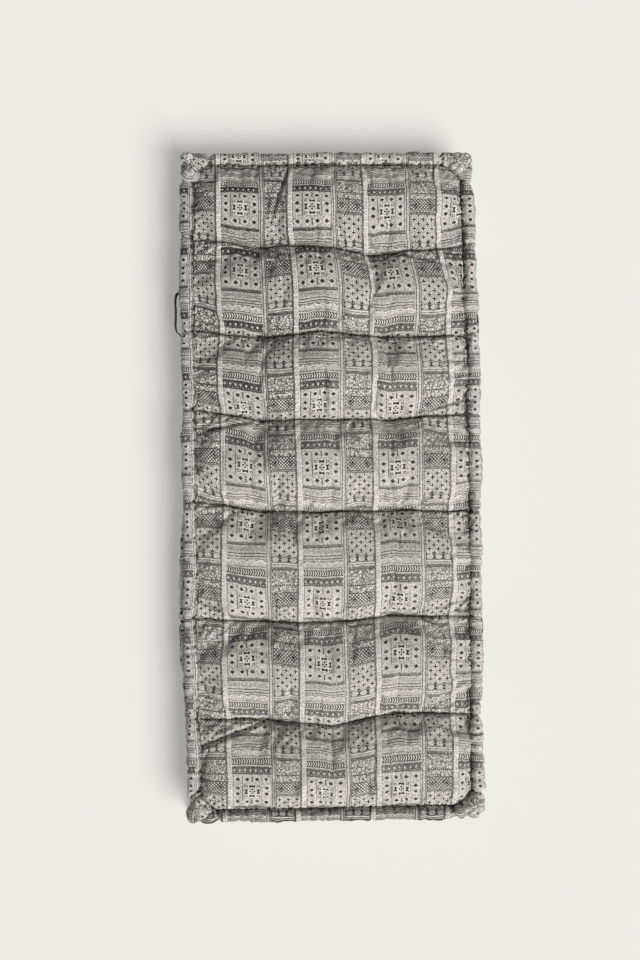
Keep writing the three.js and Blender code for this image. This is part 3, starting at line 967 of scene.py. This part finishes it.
def edge_roll(name, material, step, around, upper, seed):
    """A roll of cloth bound tight round wadding, with a pucker at every stitch."""
    path = Path(step)
    rng = np.random.default_rng(seed)
    theta = np.linspace(0, TAU, around, endpoint=False)[None]
    towards_seam = 0.5 + 0.5 * np.cos(theta - SEAM_ANGLE)
    half_width = path.by_side(ROLL_HALF_WIDTH)[:, None]
    square = (np.abs(path.normal) ** 9).sum(axis=1, keepdims=True) ** (-1 / 9)
    corner_fill = (square - 1) * (CORNER_ROUND + ROLL_REACH * half_width) / 2
    centre_out = (ROLL_REACH - 1) * half_width + corner_fill
    half_width = half_width + corner_fill

    place = path.along[:, None]
    skin = np.stack(np.broadcast_arrays(place, 0.022 * np.cos(theta), 0.022 * np.sin(theta)), -1)
    swell = 1.3 * MM * ripples(path.at, 0.12, seed + 1)[:, None]
    swell = swell + 0.8 * MM * ripples(skin, 0.026, seed + 2, 18)
    swell += 0.4 * MM * ripples(skin, 0.011, seed + 3, 24)
    folds = roll_folds(path, UPPER_SEAM_SEED if upper else seed + 4, rng)
    if upper:
        for crease, depth in crease_ends(path):
            folds.append((crease, depth, 0.95))
            swell = swell - 2.2 * MM * bell(path.signed_to(crease), 28 * MM)[:, None]
    for fold, depth, reach in folds:
        slant = rng.uniform(-11, 11) * MM
        gap = path.signed_to(fold)[:, None] + slant * (1 - towards_seam)
        rows = np.abs(gap[:, 0]) < 45 * MM
        profile = fold_profile(gap[rows] * rng.choice((-1, 1)), 2.2 * MM, rng.uniform(3.5, 8.0) * MM)
        swell[rows] -= depth * profile * (reach + (1 - reach) * towards_seam**1.5)
    wobble = 1.5 * MM * ripples(path.at, 0.23, seed + 5)[:, None]
    wobble = wobble - 6 * MM * left_slump(path)[:, None] * (1 if upper else -0.3)
    out = centre_out + wobble + (half_width + swell) * np.cos(theta)
    middle = roll_top - ROLL_HALF_HEIGHT if upper else ROLL_HALF_HEIGHT
    rise = 2.5 * MM * path.side["foot"][:, None] if upper else 0
    up = np.maximum(middle + rise + (ROLL_HALF_HEIGHT + swell) * np.sin(theta), 0.3 * MM)
    points = sweep(path, out, up)
    cloth = roll_cloth(path, theta[0], half_width)
    roll = grid_object(name, points, cloth, material, closed_rows=True, closed_columns=True)
    return roll, path, points


def roll_folds(path, stitch_seed, rng):
    """Puckers at the stitches and pleats at the corners: place, depth and how far round each one goes."""
    folds = [(stitch, rng.uniform(1.2, 5.2) * MM, rng.uniform(0.2, 0.9))
             for stitch in stitch_places(path.total, stitch_seed)]
    for corner, pleats in enumerate(CORNER_PLEATS):
        begin, end = path.corner_span(corner)
        folds += [(begin + (end - begin) * share, 10 * MM, 0.85) for share in pleats]
    return folds


def crease_ends(path):
    """Where the tuft rows' creases reach the seam, and how deep each one cuts into the roll."""
    return [(path.nearest(x, float(crease_line(row, np.array([x]))[0])), depth)
            for row in range(TUFT_ROWS)
            for x, depth in ((seam_left, 7 * MM), (seam_right, 5.5 * MM))]


def roll_cloth(path, theta, half_width):
    """The flat-cloth places round the roll. The cloth runs on from the panel's at the seam."""
    arc = (SEAM_ANGLE - np.append(theta, TAU)) * (ROLL_HALF_HEIGHT + half_width) / 2
    flat_normal = path.normal * np.array([1, -1])
    cloth = cloth_at(path.at)[:, None] + flat_normal[:, None] * arc[..., None]
    return np.concatenate([cloth, cloth[:1]])


# The knobs of bunched cloth at the corners: place, reach in X and Y, top, turns of twist and pleats.
KNOBS = {
    "left_head_knob": ((outer_left + 20 * MM, outer_head - 13 * MM), (16 * MM, 16 * MM), 107 * MM, 1.3, 3),
    "left_head_lobe": ((outer_left + 27 * MM, outer_head - 54 * MM), (19 * MM, 22 * MM), 110 * MM, 2.0, 2),
    "right_head_knob": ((outer_right - 32 * MM, outer_head - 27 * MM), (33 * MM, 25 * MM), 111 * MM, 0.9, 7),
    "left_foot_lobe": ((outer_left + 36 * MM, outer_foot + 36 * MM), (22 * MM, 26 * MM), 113 * MM, 2.4, 2),
    "right_foot_knob": ((outer_right - 25 * MM, outer_foot + 32 * MM), (29 * MM, 25 * MM), 107 * MM, 0.3, 6),
}
KNOB_HALF_HEIGHT = 22 * MM


def corner_knob(name, place, reach, top, twist, pleats, material, seed):
    """Cloth bunched up on a corner and tucked in below, with its pleats wound into a spiral."""
    rng = np.random.default_rng(seed)
    rings, around = 32, 72
    share = np.linspace(0, 1, rings)[:, None]
    fall = math.radians(128) * share  # from the knob's top, over its side and back under
    angle = np.linspace(0, TAU, around, endpoint=False)[None]
    outline = 1 + 0.13 * np.sin(2 * angle + rng.uniform(0, TAU))
    outline += 0.08 * np.sin(3 * angle + rng.uniform(0, TAU))
    wound = pleats * angle + twist * TAU * share
    ridges = np.abs(np.sin(wound / 2)) ** 0.6
    radius = np.sin(fall) ** 0.8 * outline * (0.93 + 0.1 * ridges)
    x = place[0] + reach[0] * radius * np.cos(angle)
    y = place[1] + reach[1] * radius * np.sin(angle)
    crumple = ripples(np.stack(np.broadcast_arrays(x, y), -1), 0.02, seed + 1, 18)
    z = top - KNOB_HALF_HEIGHT * (1 - np.cos(fall))
    groove = (1 - ridges) * np.clip(share * 3, 0, 1) * np.clip(2.5 - 2.5 * share, 0, 1)
    z = z - 10 * MM * groove + 1.1 * MM * crumple * share
    points = np.stack([x, y, z], axis=-1)
    far = np.append(angle[0], TAU)[None]
    run = fall * (max(reach) + KNOB_HALF_HEIGHT) / 2
    cloth = np.stack([0.8 * max(reach) * far + 0 * run, run + 0 * far], axis=-1) + rng.uniform(0.6, 0.9, 2)
    return grid_object(name, points, cloth, material, closed_columns=True)


def left_slump(path):
    """1 where the left side's upper roll has slumped inwards, and its wall bulges out under it."""
    return path.side["left"] * np.clip(1.25 * bell(path.at[:, 1] + 0.30, 0.24), 0, 1)


def in_print(cloth):
    return cloth + np.array(PRINT_START)


def cloth_at(plan):
    """The flat-cloth place of a point on the panel's border, or just beyond it."""
    u = np.interp(plan[:, 0], panel_points[0, :, 0], panel_cloth[0, :, 0])
    left = plan[:, 0] < seam_middle[0]
    v = np.empty(len(plan))
    for column, chosen in ((0, left), (-1, ~left)):
        known_y = panel_points[::-1, column, 1]
        known_v = panel_cloth[::-1, column, 1]
        v[chosen] = np.interp(plan[chosen, 1], known_y, known_v)
    return in_print(np.stack([u, v], axis=1))


WALL_HEIGHTS = (24 * MM, 76 * MM)  # of its lower and upper edges, tucked behind the rolls


def side_wall(name, material, step, seed):
    """The upright band between the rolls, gathered along both edges and bulging between them."""
    path = Path(step)
    outer_rows, inner_rows = 15, 4
    share = np.linspace(0, 1, outer_rows)[None]
    half_width = path.by_side(ROLL_HALF_WIDTH)[:, None]
    rim = ROLL_REACH * half_width
    low, high = WALL_HEIGHTS
    edge = np.abs(2 * share - 1)
    out = rim - 18 * MM + 12 * MM * np.sqrt(np.clip(1 - edge**2, 0, 1))
    place = path.along[:, None] + 0 * share
    flat = np.stack([place, 0.9 * share * (high - low) + 0 * place], -1)
    gathers = ripples(np.stack([place, 0.15 * flat[..., 1]], -1), 0.024, seed, 20)
    out = out + gathers * (0.5 + 1.4 * edge**2) * MM + 1.2 * MM * ripples(flat, 0.09, seed + 1)
    out = out + 15 * MM * left_slump(path)[:, None] * bell(share - 0.92, 0.26)
    up = low + (high - low) * share + 0 * place
    inner_share = np.linspace(1, 0, inner_rows)[None]
    inner_out = rim - 24 * MM + 0 * path.along[:, None] * inner_share
    inner_up = low + (high - low) * inner_share + 0 * path.along[:, None]
    points = sweep(path, np.hstack([out, inner_out]), np.hstack([up, inner_up]))
    section = np.hstack([up, inner_up, up[:, :1]])
    section[:, -1] = low - 30 * MM
    along = np.concatenate([path.along, [path.total]])
    cloth = np.stack(np.broadcast_arrays(along[:, None], -np.vstack([section, section[:1]])), axis=-1)
    return grid_object(name, points, cloth, material, closed_rows=True, closed_columns=True)


# ---------------------------------------------------------------------------------------------------------
# The bottom panel, the wadding, the twine and the handles
# ---------------------------------------------------------------------------------------------------------

BOTTOM_SEAM_HEIGHT = 12 * MM


def bottom_height(x, y):
    """The underside: flat where it rests, drawn up at the ties, their creases and the seam."""
    lift = 0.4 * MM + 0 * x
    for away in from_creases(x, y):
        lift = lift + 6 * MM * bell(away, 11 * MM)
    for tuft in all_tufts:
        away = np.hypot(x - tuft.x, y - tuft.y)
        lift = lift + 5 * MM * bell(away, 30 * MM) + 5 * MM * bell(away, 11 * MM)
    rim = pillow(inside_seam(x, y) / (45 * MM), 2.4)
    return BOTTOM_SEAM_HEIGHT + (lift - BOTTOM_SEAM_HEIGHT) * rim


def plan_grid(columns, rows, inset=0.0):
    x = np.linspace(seam_left + inset, seam_right - inset, columns)
    y = np.linspace(seam_head - inset, seam_foot + inset, rows)
    return np.meshgrid(x, y)


def make_bottom_panel(material):
    x, y = plan_grid(129, 285)
    z = bottom_height(x, y)
    z += 0.5 * MM * (1 + ripples(np.stack([x, y], -1), 0.03, seed=91, count=16).clip(-1, 1)) * (z > 1.2 * MM)
    panel = grid_object("bottom_panel_cloth", np.stack([x, y, z], -1), np.stack([x, -y], -1), material)
    thicken(panel)
    return panel


def pad(name, x, y, top, bottom, material):
    """A closed pad between two heights over one plan grid."""
    upper, lower = np.stack([x, y, top], -1), np.stack([x, y, bottom], -1)
    halfway = (upper + lower) / 2
    columns = [halfway[:, :1], upper[:, 1:-1], halfway[:, -1:], lower[:, -2:0:-1]]
    tube = np.concatenate(columns, axis=1)
    tube[0, :, 2] = tube[0, :, 2].mean()
    tube[-1, :, 2] = tube[-1, :, 2].mean()
    cloth = np.zeros((tube.shape[0], tube.shape[1] + 1, 2))
    piece = grid_object(name, tube, cloth, material, closed_columns=True)
    close_ends(piece)
    return piece


def close_ends(piece):
    """Fill the open ends of a tube of quads."""
    work = bmesh.new()
    work.from_mesh(piece.data)
    bmesh.ops.holes_fill(work, edges=[edge for edge in work.edges if edge.is_boundary], sides=0)
    bmesh.ops.recalc_face_normals(work, faces=work.faces)
    work.to_mesh(piece.data)
    work.free()


UPPER_LAYER_BOTTOM = 66 * MM
CORE_BOTTOM, CORE_TOP = 30 * MM, 46 * MM
LOWER_LAYER_TOP = 29 * MM


def make_wadding(material):
    """Three layers: the upper one fills the puffs, and all three stop just inside the cloth."""
    layers = {}
    # Every fourth point of the panel, each as low as the lowest of its neighbours.
    upper_x, upper_y = panel_points[4:-4:4, 4:-4:4, 0], panel_points[4:-4:4, 4:-4:4, 1]
    lowest = [panel_points[4 + row : -4 + row or None, 4 + column : -4 + column or None, 2][::4, ::4]
              for row in range(-4, 5, 2) for column in range(-4, 5, 2)]
    upper_z = np.min(lowest, axis=0) - 4 * MM
    layers["upper"] = (upper_x, upper_y, upper_z, np.minimum(UPPER_LAYER_BOTTOM, upper_z - 2 * MM))
    x, y = plan_grid(41, 93, inset=-4 * MM)
    soft = 1.2 * MM * ripples(np.stack([x, y], -1), 0.08, seed=95)
    layers["core"] = (x, y, CORE_TOP + soft, CORE_BOTTOM + soft)
    x, y = plan_grid(41, 93, inset=8 * MM)
    layers["lower"] = (x, y, LOWER_LAYER_TOP + soft, bottom_height(x, y) + 4 * MM)
    for layer, (x, y, top, bottom) in layers.items():
        piece = pad(f"{layer}_wadding_pad", x, y, np.maximum(top, bottom + 1 * MM), bottom, material)
        on_mattress(piece, "wadding", f"{layer}_wadding", fill=0.85)


# Where a stitch touches the upper and the lower roll, from the groove outwards: angles of the roll's
# section, in degrees.
UPPER_GROOVE = (168, 152, 138, 124)
LOWER_GROOVE = (192, 208, 222)
LOWER_SEAM_SEED = 33
TUFT_SEEDS = {"left": 140, "right": 150}


def nearest_column(ring_points, angle):
    """The column of a swept ring's points that lies at an angle of its section, in degrees."""
    around = ring_points.shape[1]
    return round(angle / 360 * around) % around


def make_seam_stitches(name, path, ring_points, panel_z, angles, seed, material):
    """Short twine stitches that cross the groove between a panel and its rolls."""
    picks = [nearest_column(ring_points, angle) for angle in angles]
    rng = np.random.default_rng(seed)
    strands = []
    for stitch in stitch_places(path.total, seed):
        index = int(np.argmin(np.abs(path.along - stitch)))
        lean = int(rng.integers(1, 4)) * int(rng.choice((-1, 1)))
        rows = [(index + round(lean * share)) % len(ring_points) for share in np.linspace(0, 1, len(picks))]
        normal = path.normal[index]
        outer = np.array([ring_points[row, pick] for row, pick in zip(rows, picks)])
        centre = ring_points[rows[0]].mean(axis=0)
        lift = outer - centre
        outer = outer + lift / np.linalg.norm(lift, axis=1, keepdims=True) * 0.5 * MM
        inner = path.at[index] - normal * 3.5 * MM
        first = np.array([*inner, panel_z(*inner)])
        strands.append(rod(np.vstack([first, outer]), 0.85 * MM))
    strands.append(running_twine(path, ring_points, angles))
    return strand_object(name, strands, material)


def running_twine(path, ring_points, angles):
    """The twine along the bottom of the groove. It sinks out of sight along most of the left side."""
    low, high = (nearest_column(ring_points, angle) for angle in (angles[0], angles[-1]))
    rise = 0.35 * path.side["head"][:, None]
    line = ring_points[:, low] * (1 - rise) + ring_points[:, high] * rise
    line[:, :2] -= path.normal * (1.5 * MM + 2.5 * MM * np.clip(path.side["left"] - 0.3, 0, 1)[:, None])
    buried = 4 * MM * path.side["left"] * (path.at[:, 1] < 0.48)
    line[:, 2] += 0.8 * MM * ripples(path.at, 0.05, seed=51) - buried
    line[:, 2] = np.maximum(line[:, 2], 2.4 * MM)
    return rod(line[::2], 1.9 * MM, around=6)


def make_tuft(name, tuft, seed, material):
    """One tie: a run of twine through the mattress, with a crossed stitch and a knot on the top."""
    rng = np.random.default_rng(seed)
    top = surface_height(tuft.x, tuft.y) + 9 * MM
    bottom = float(bottom_height(np.array([[tuft.x]]), np.array([[tuft.y]]))[0, 0]) - 1 * MM
    strands = [rod([(tuft.x, tuft.y, z) for z in np.linspace(bottom, top, 8)], 1.2 * MM)]
    for turn in (rng.uniform(-0.3, 0.3), rng.uniform(1.1, 1.7)):
        for height, reach in ((top, 12 * MM), (bottom, 6 * MM)):
            share = np.linspace(-1, 1, 9)
            sink = (1 if height == top else -1) * (2.4 * MM * (1 - share**2) - 1.6 * MM)
            line = [(tuft.x + reach * t * math.cos(turn), tuft.y + reach * t * math.sin(turn), height + d)
                    for t, d in zip(share, sink)]
            strands.append(rod(line, 1.6 * MM))
    knot = np.linspace(0, 2.2 * TAU, 40)
    coil = [(tuft.x + 2.7 * MM * math.cos(a), tuft.y + 2.7 * MM * math.sin(a), top + 0.2 * MM * a)
            for a in knot]
    strands.append(rod(coil, 2 * MM))
    tail = np.linspace(0, 1, 8)
    lean = rng.uniform(0, TAU)
    for side in (-1, 1):
        end_x, end_y = side * 9 * MM * math.cos(lean + side * 0.4), side * 9 * MM * math.sin(lean)
        line = [(tuft.x + t * end_x, tuft.y + t * end_y, top + 2 * MM + 3 * MM * t - 4 * MM * t * t)
                for t in tail]
        strands.append(rod(line, 0.7 * MM))
    return strand_object(name, strands, material)


def surface_height(x, y):
    """The top panel's height at a point of the plan."""
    away = np.hypot(panel_points[..., 0] - x, panel_points[..., 1] - y)
    return float(panel_points[..., 2].reshape(-1)[np.argmin(away)])


STRAP_WIDTH = 22 * MM
STRAP_THICKNESS = 2.5 * MM

# How far each strap's middle stands out from the wall. Only the left head one stands up; the others have
# settled back.
STRAP_BOW = {"left_head": 19 * MM, "left_foot": 10 * MM, "right_head": 6.5 * MM, "right_foot": 8 * MM}
STRAP_REST = 8 * MM  # how far it stands out just past a sewn end
STRAP_HALF_SPAN = 52 * MM
STRAP_LEAN = math.radians(6)  # the upper edge leans out
SEWN_END = 33 * MM
SEWN_STANDOFF = 2.2 * MM  # from the wall to the middle of a sewn end's thickness


def strap_section(at, outward, lean):
    """A rounded rectangle about a point of the strap's line."""
    upward = np.array([0.0, 0.0, math.cos(lean)]) + math.sin(lean) * outward
    corner = np.linspace(0, TAU, 16, endpoint=False)
    tall = np.sign(np.sin(corner)) * np.abs(np.sin(corner)) ** 0.35 * STRAP_WIDTH / 2
    deep = np.sign(np.cos(corner)) * np.abs(np.cos(corner)) ** 0.6 * STRAP_THICKNESS / 2
    return at + outward * deep[:, None] + upward * tall[:, None]


def strap_line(sign, wall_x, place_y, towards, bow_out, count=64):
    """Centre, outward direction and lean along half a strap, from its sewn tip to just past its middle."""
    away = np.linspace(STRAP_HALF_SPAN + SEWN_END, -1 * MM, count)
    bow = 1 - np.clip(away / STRAP_HALF_SPAN, 0, 1) ** 12
    lift = np.clip((STRAP_HALF_SPAN + 9 * MM - away) / (9 * MM), 0, 1)
    eased = lift**2 * (3 - 2 * lift)
    standoff = SEWN_STANDOFF + (STRAP_REST - SEWN_STANDOFF) * eased + (bow_out - STRAP_REST) * bow
    standoff = standoff + 0.5 * MM * np.sin(away * 160 + place_y * 9) * lift
    line = np.stack([wall_x + sign * standoff, place_y + towards * away, np.full(count, mid_height)], axis=1)
    ahead = np.gradient(line, axis=0)
    outward = np.cross(ahead, [0.0, 0.0, 1.0])
    outward /= np.linalg.norm(outward, axis=1, keepdims=True)
    return line, outward * np.sign(outward[:, :1] * sign + 1e-9), STRAP_LEAN * bow


def make_handle(side, end, webbing, twine):
    """A strap in two halves, each sewn down at its own end and standing out from the wall past it."""
    handle = f"handle_{side}_{end}"
    sign = -1 if side == "left" else 1
    low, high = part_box(f"{handle}_sewn_end_a")
    wall_x = low.x if side == "right" else high.x
    place_y = centre_of(f"{handle}_strap").y
    for half in ("a", "b"):
        towards = 1 if centre_of(f"{handle}_sewn_end_{half}").y > place_y else -1
        sections = zip(*strap_line(sign, wall_x, place_y, towards, STRAP_BOW[f"{side}_{end}"]))
        rings = np.array([strap_section(*section) for section in sections])
        strap = strand_object(f"{handle}_half_{half}", [rings], webbing)
        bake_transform(strap)
        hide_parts(f"{handle}_strap", f"{handle}_sewn_end_{half}")
        stitches = sewn_box(sign, wall_x, place_y, towards)
        box = strand_object(f"{handle}_stitching_{half}", stitches, twine)
        on_mattress(box, "twine")


def sewn_box(sign, wall_x, place_y, towards):
    """A square of running stitches with a cross in it, on a sewn end."""
    near, far = STRAP_HALF_SPAN + 10 * MM, STRAP_HALF_SPAN + SEWN_END - 4 * MM
    low, high = mid_height - 8 * MM, mid_height + 8 * MM
    corners = [(near, low), (far, low), (far, high), (near, high)]
    runs = [(corners[i], corners[(i + 1) % 4]) for i in range(4)]
    runs += [(corners[0], corners[2]), (corners[1], corners[3])]
    face = wall_x + sign * (SEWN_STANDOFF + STRAP_THICKNESS / 2)
    strands = []
    for begin, finish in runs:
        begin, finish = np.array(begin), np.array(finish)
        count = int(np.linalg.norm(finish - begin) / (4 * MM))
        for index in range(count):
            ends = [begin + (finish - begin) * (index + share) / count for share in (0.12, 0.5, 0.82)]
            rise = (0.0, 0.45 * MM, 0.0)
            line = [(face + sign * r, place_y + towards * e[0], e[1]) for e, r in zip(ends, rise)]
            strands.append(rod(line, 0.5 * MM, around=6))
    return strands


# ---------------------------------------------------------------------------------------------------------
# Build
# ---------------------------------------------------------------------------------------------------------


def make_floor():
    """A pale floor, just under the mattress."""
    mesh = bpy.data.meshes.new("floor")
    half = 6.0
    corners = [(-half, -half, 0), (half, -half, 0), (half, half, 0), (-half, half, 0)]
    mesh.from_pydata(corners, [], [range(4)])
    floor = bpy.data.objects.new("floor", mesh)
    bpy.context.scene.collection.objects.link(floor)
    floor.location.z = -0.5 * MM
    material, _, shader = new_material("pale_floor")
    shader.inputs["Base Color"].default_value = (0.53, 0.525, 0.506, 1.0)
    shader.inputs["Roughness"].default_value = 0.9
    shader.inputs["Emission Color"].default_value = (0.86, 0.85, 0.82, 1.0)
    shader.inputs["Emission Strength"].default_value = 0.3
    mesh.materials.append(material)


def on_mattress(piece, slot, *nodes, fill=None):
    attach(piece, "mattress")
    if nodes:
        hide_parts(*nodes)


def edge_nodes(stem):
    return [f"{stem}_{side}" for side in ("left", "right", "head", "foot")]


make_camera()
make_lights()
make_floor()
cotton = printed_cotton("printed_cotton")

panel, panel_points, panel_cloth = make_top_panel(cotton)
on_mattress(panel, "printed_cotton", "top_panel", fill=0.9)
upper_roll, upper_path, upper_points = edge_roll("upper_edge_roll", cotton, 3 * MM, 30, upper=True, seed=11)
on_mattress(upper_roll, "printed_cotton", *edge_nodes("upper_edge_roll"), fill=0.95)
lower_roll, lower_path, lower_points = edge_roll("lower_edge_roll", cotton, 5 * MM, 20, upper=False, seed=12)
on_mattress(lower_roll, "printed_cotton", *edge_nodes("lower_edge_roll"), fill=0.95)
wall = side_wall("side_wall", cotton, 4 * MM, seed=21)
on_mattress(wall, "printed_cotton", *edge_nodes("side_wall"), fill=0.8)

bottom = make_bottom_panel(cotton)
on_mattress(bottom, "printed_cotton", "bottom_panel", fill=0.8)
make_wadding(wadding_material())

twine = twine_material()
upper_stitches = make_seam_stitches("upper_seam_stitches", upper_path, upper_points, surface_height,
                                    UPPER_GROOVE, UPPER_SEAM_SEED, twine)
on_mattress(upper_stitches, "twine", "upper_seam_twine")
lower_stitches = make_seam_stitches("lower_seam_stitches", lower_path, lower_points,
                                    lambda x, y: BOTTOM_SEAM_HEIGHT, LOWER_GROOVE, LOWER_SEAM_SEED, twine)
on_mattress(lower_stitches, "twine", "lower_seam_twine")
for side in SIDES:
    for row, tuft in enumerate(tufts[side]):
        tie = make_tuft(f"tuft_stitch_{side}_{row + 1}", tuft, TUFT_SEEDS[side] + row, twine)
        on_mattress(tie, "twine", f"tuft_tie_{side}_{row + 1}")

for index, (knob, shape) in enumerate(KNOBS.items()):
    on_mattress(corner_knob(f"corner_{knob}", *shape, cotton, seed=70 + index), "printed_cotton")

webbing = webbing_material()
for side in SIDES:
    for end in ("head", "foot"):
        make_handle(side, end, webbing, twine)
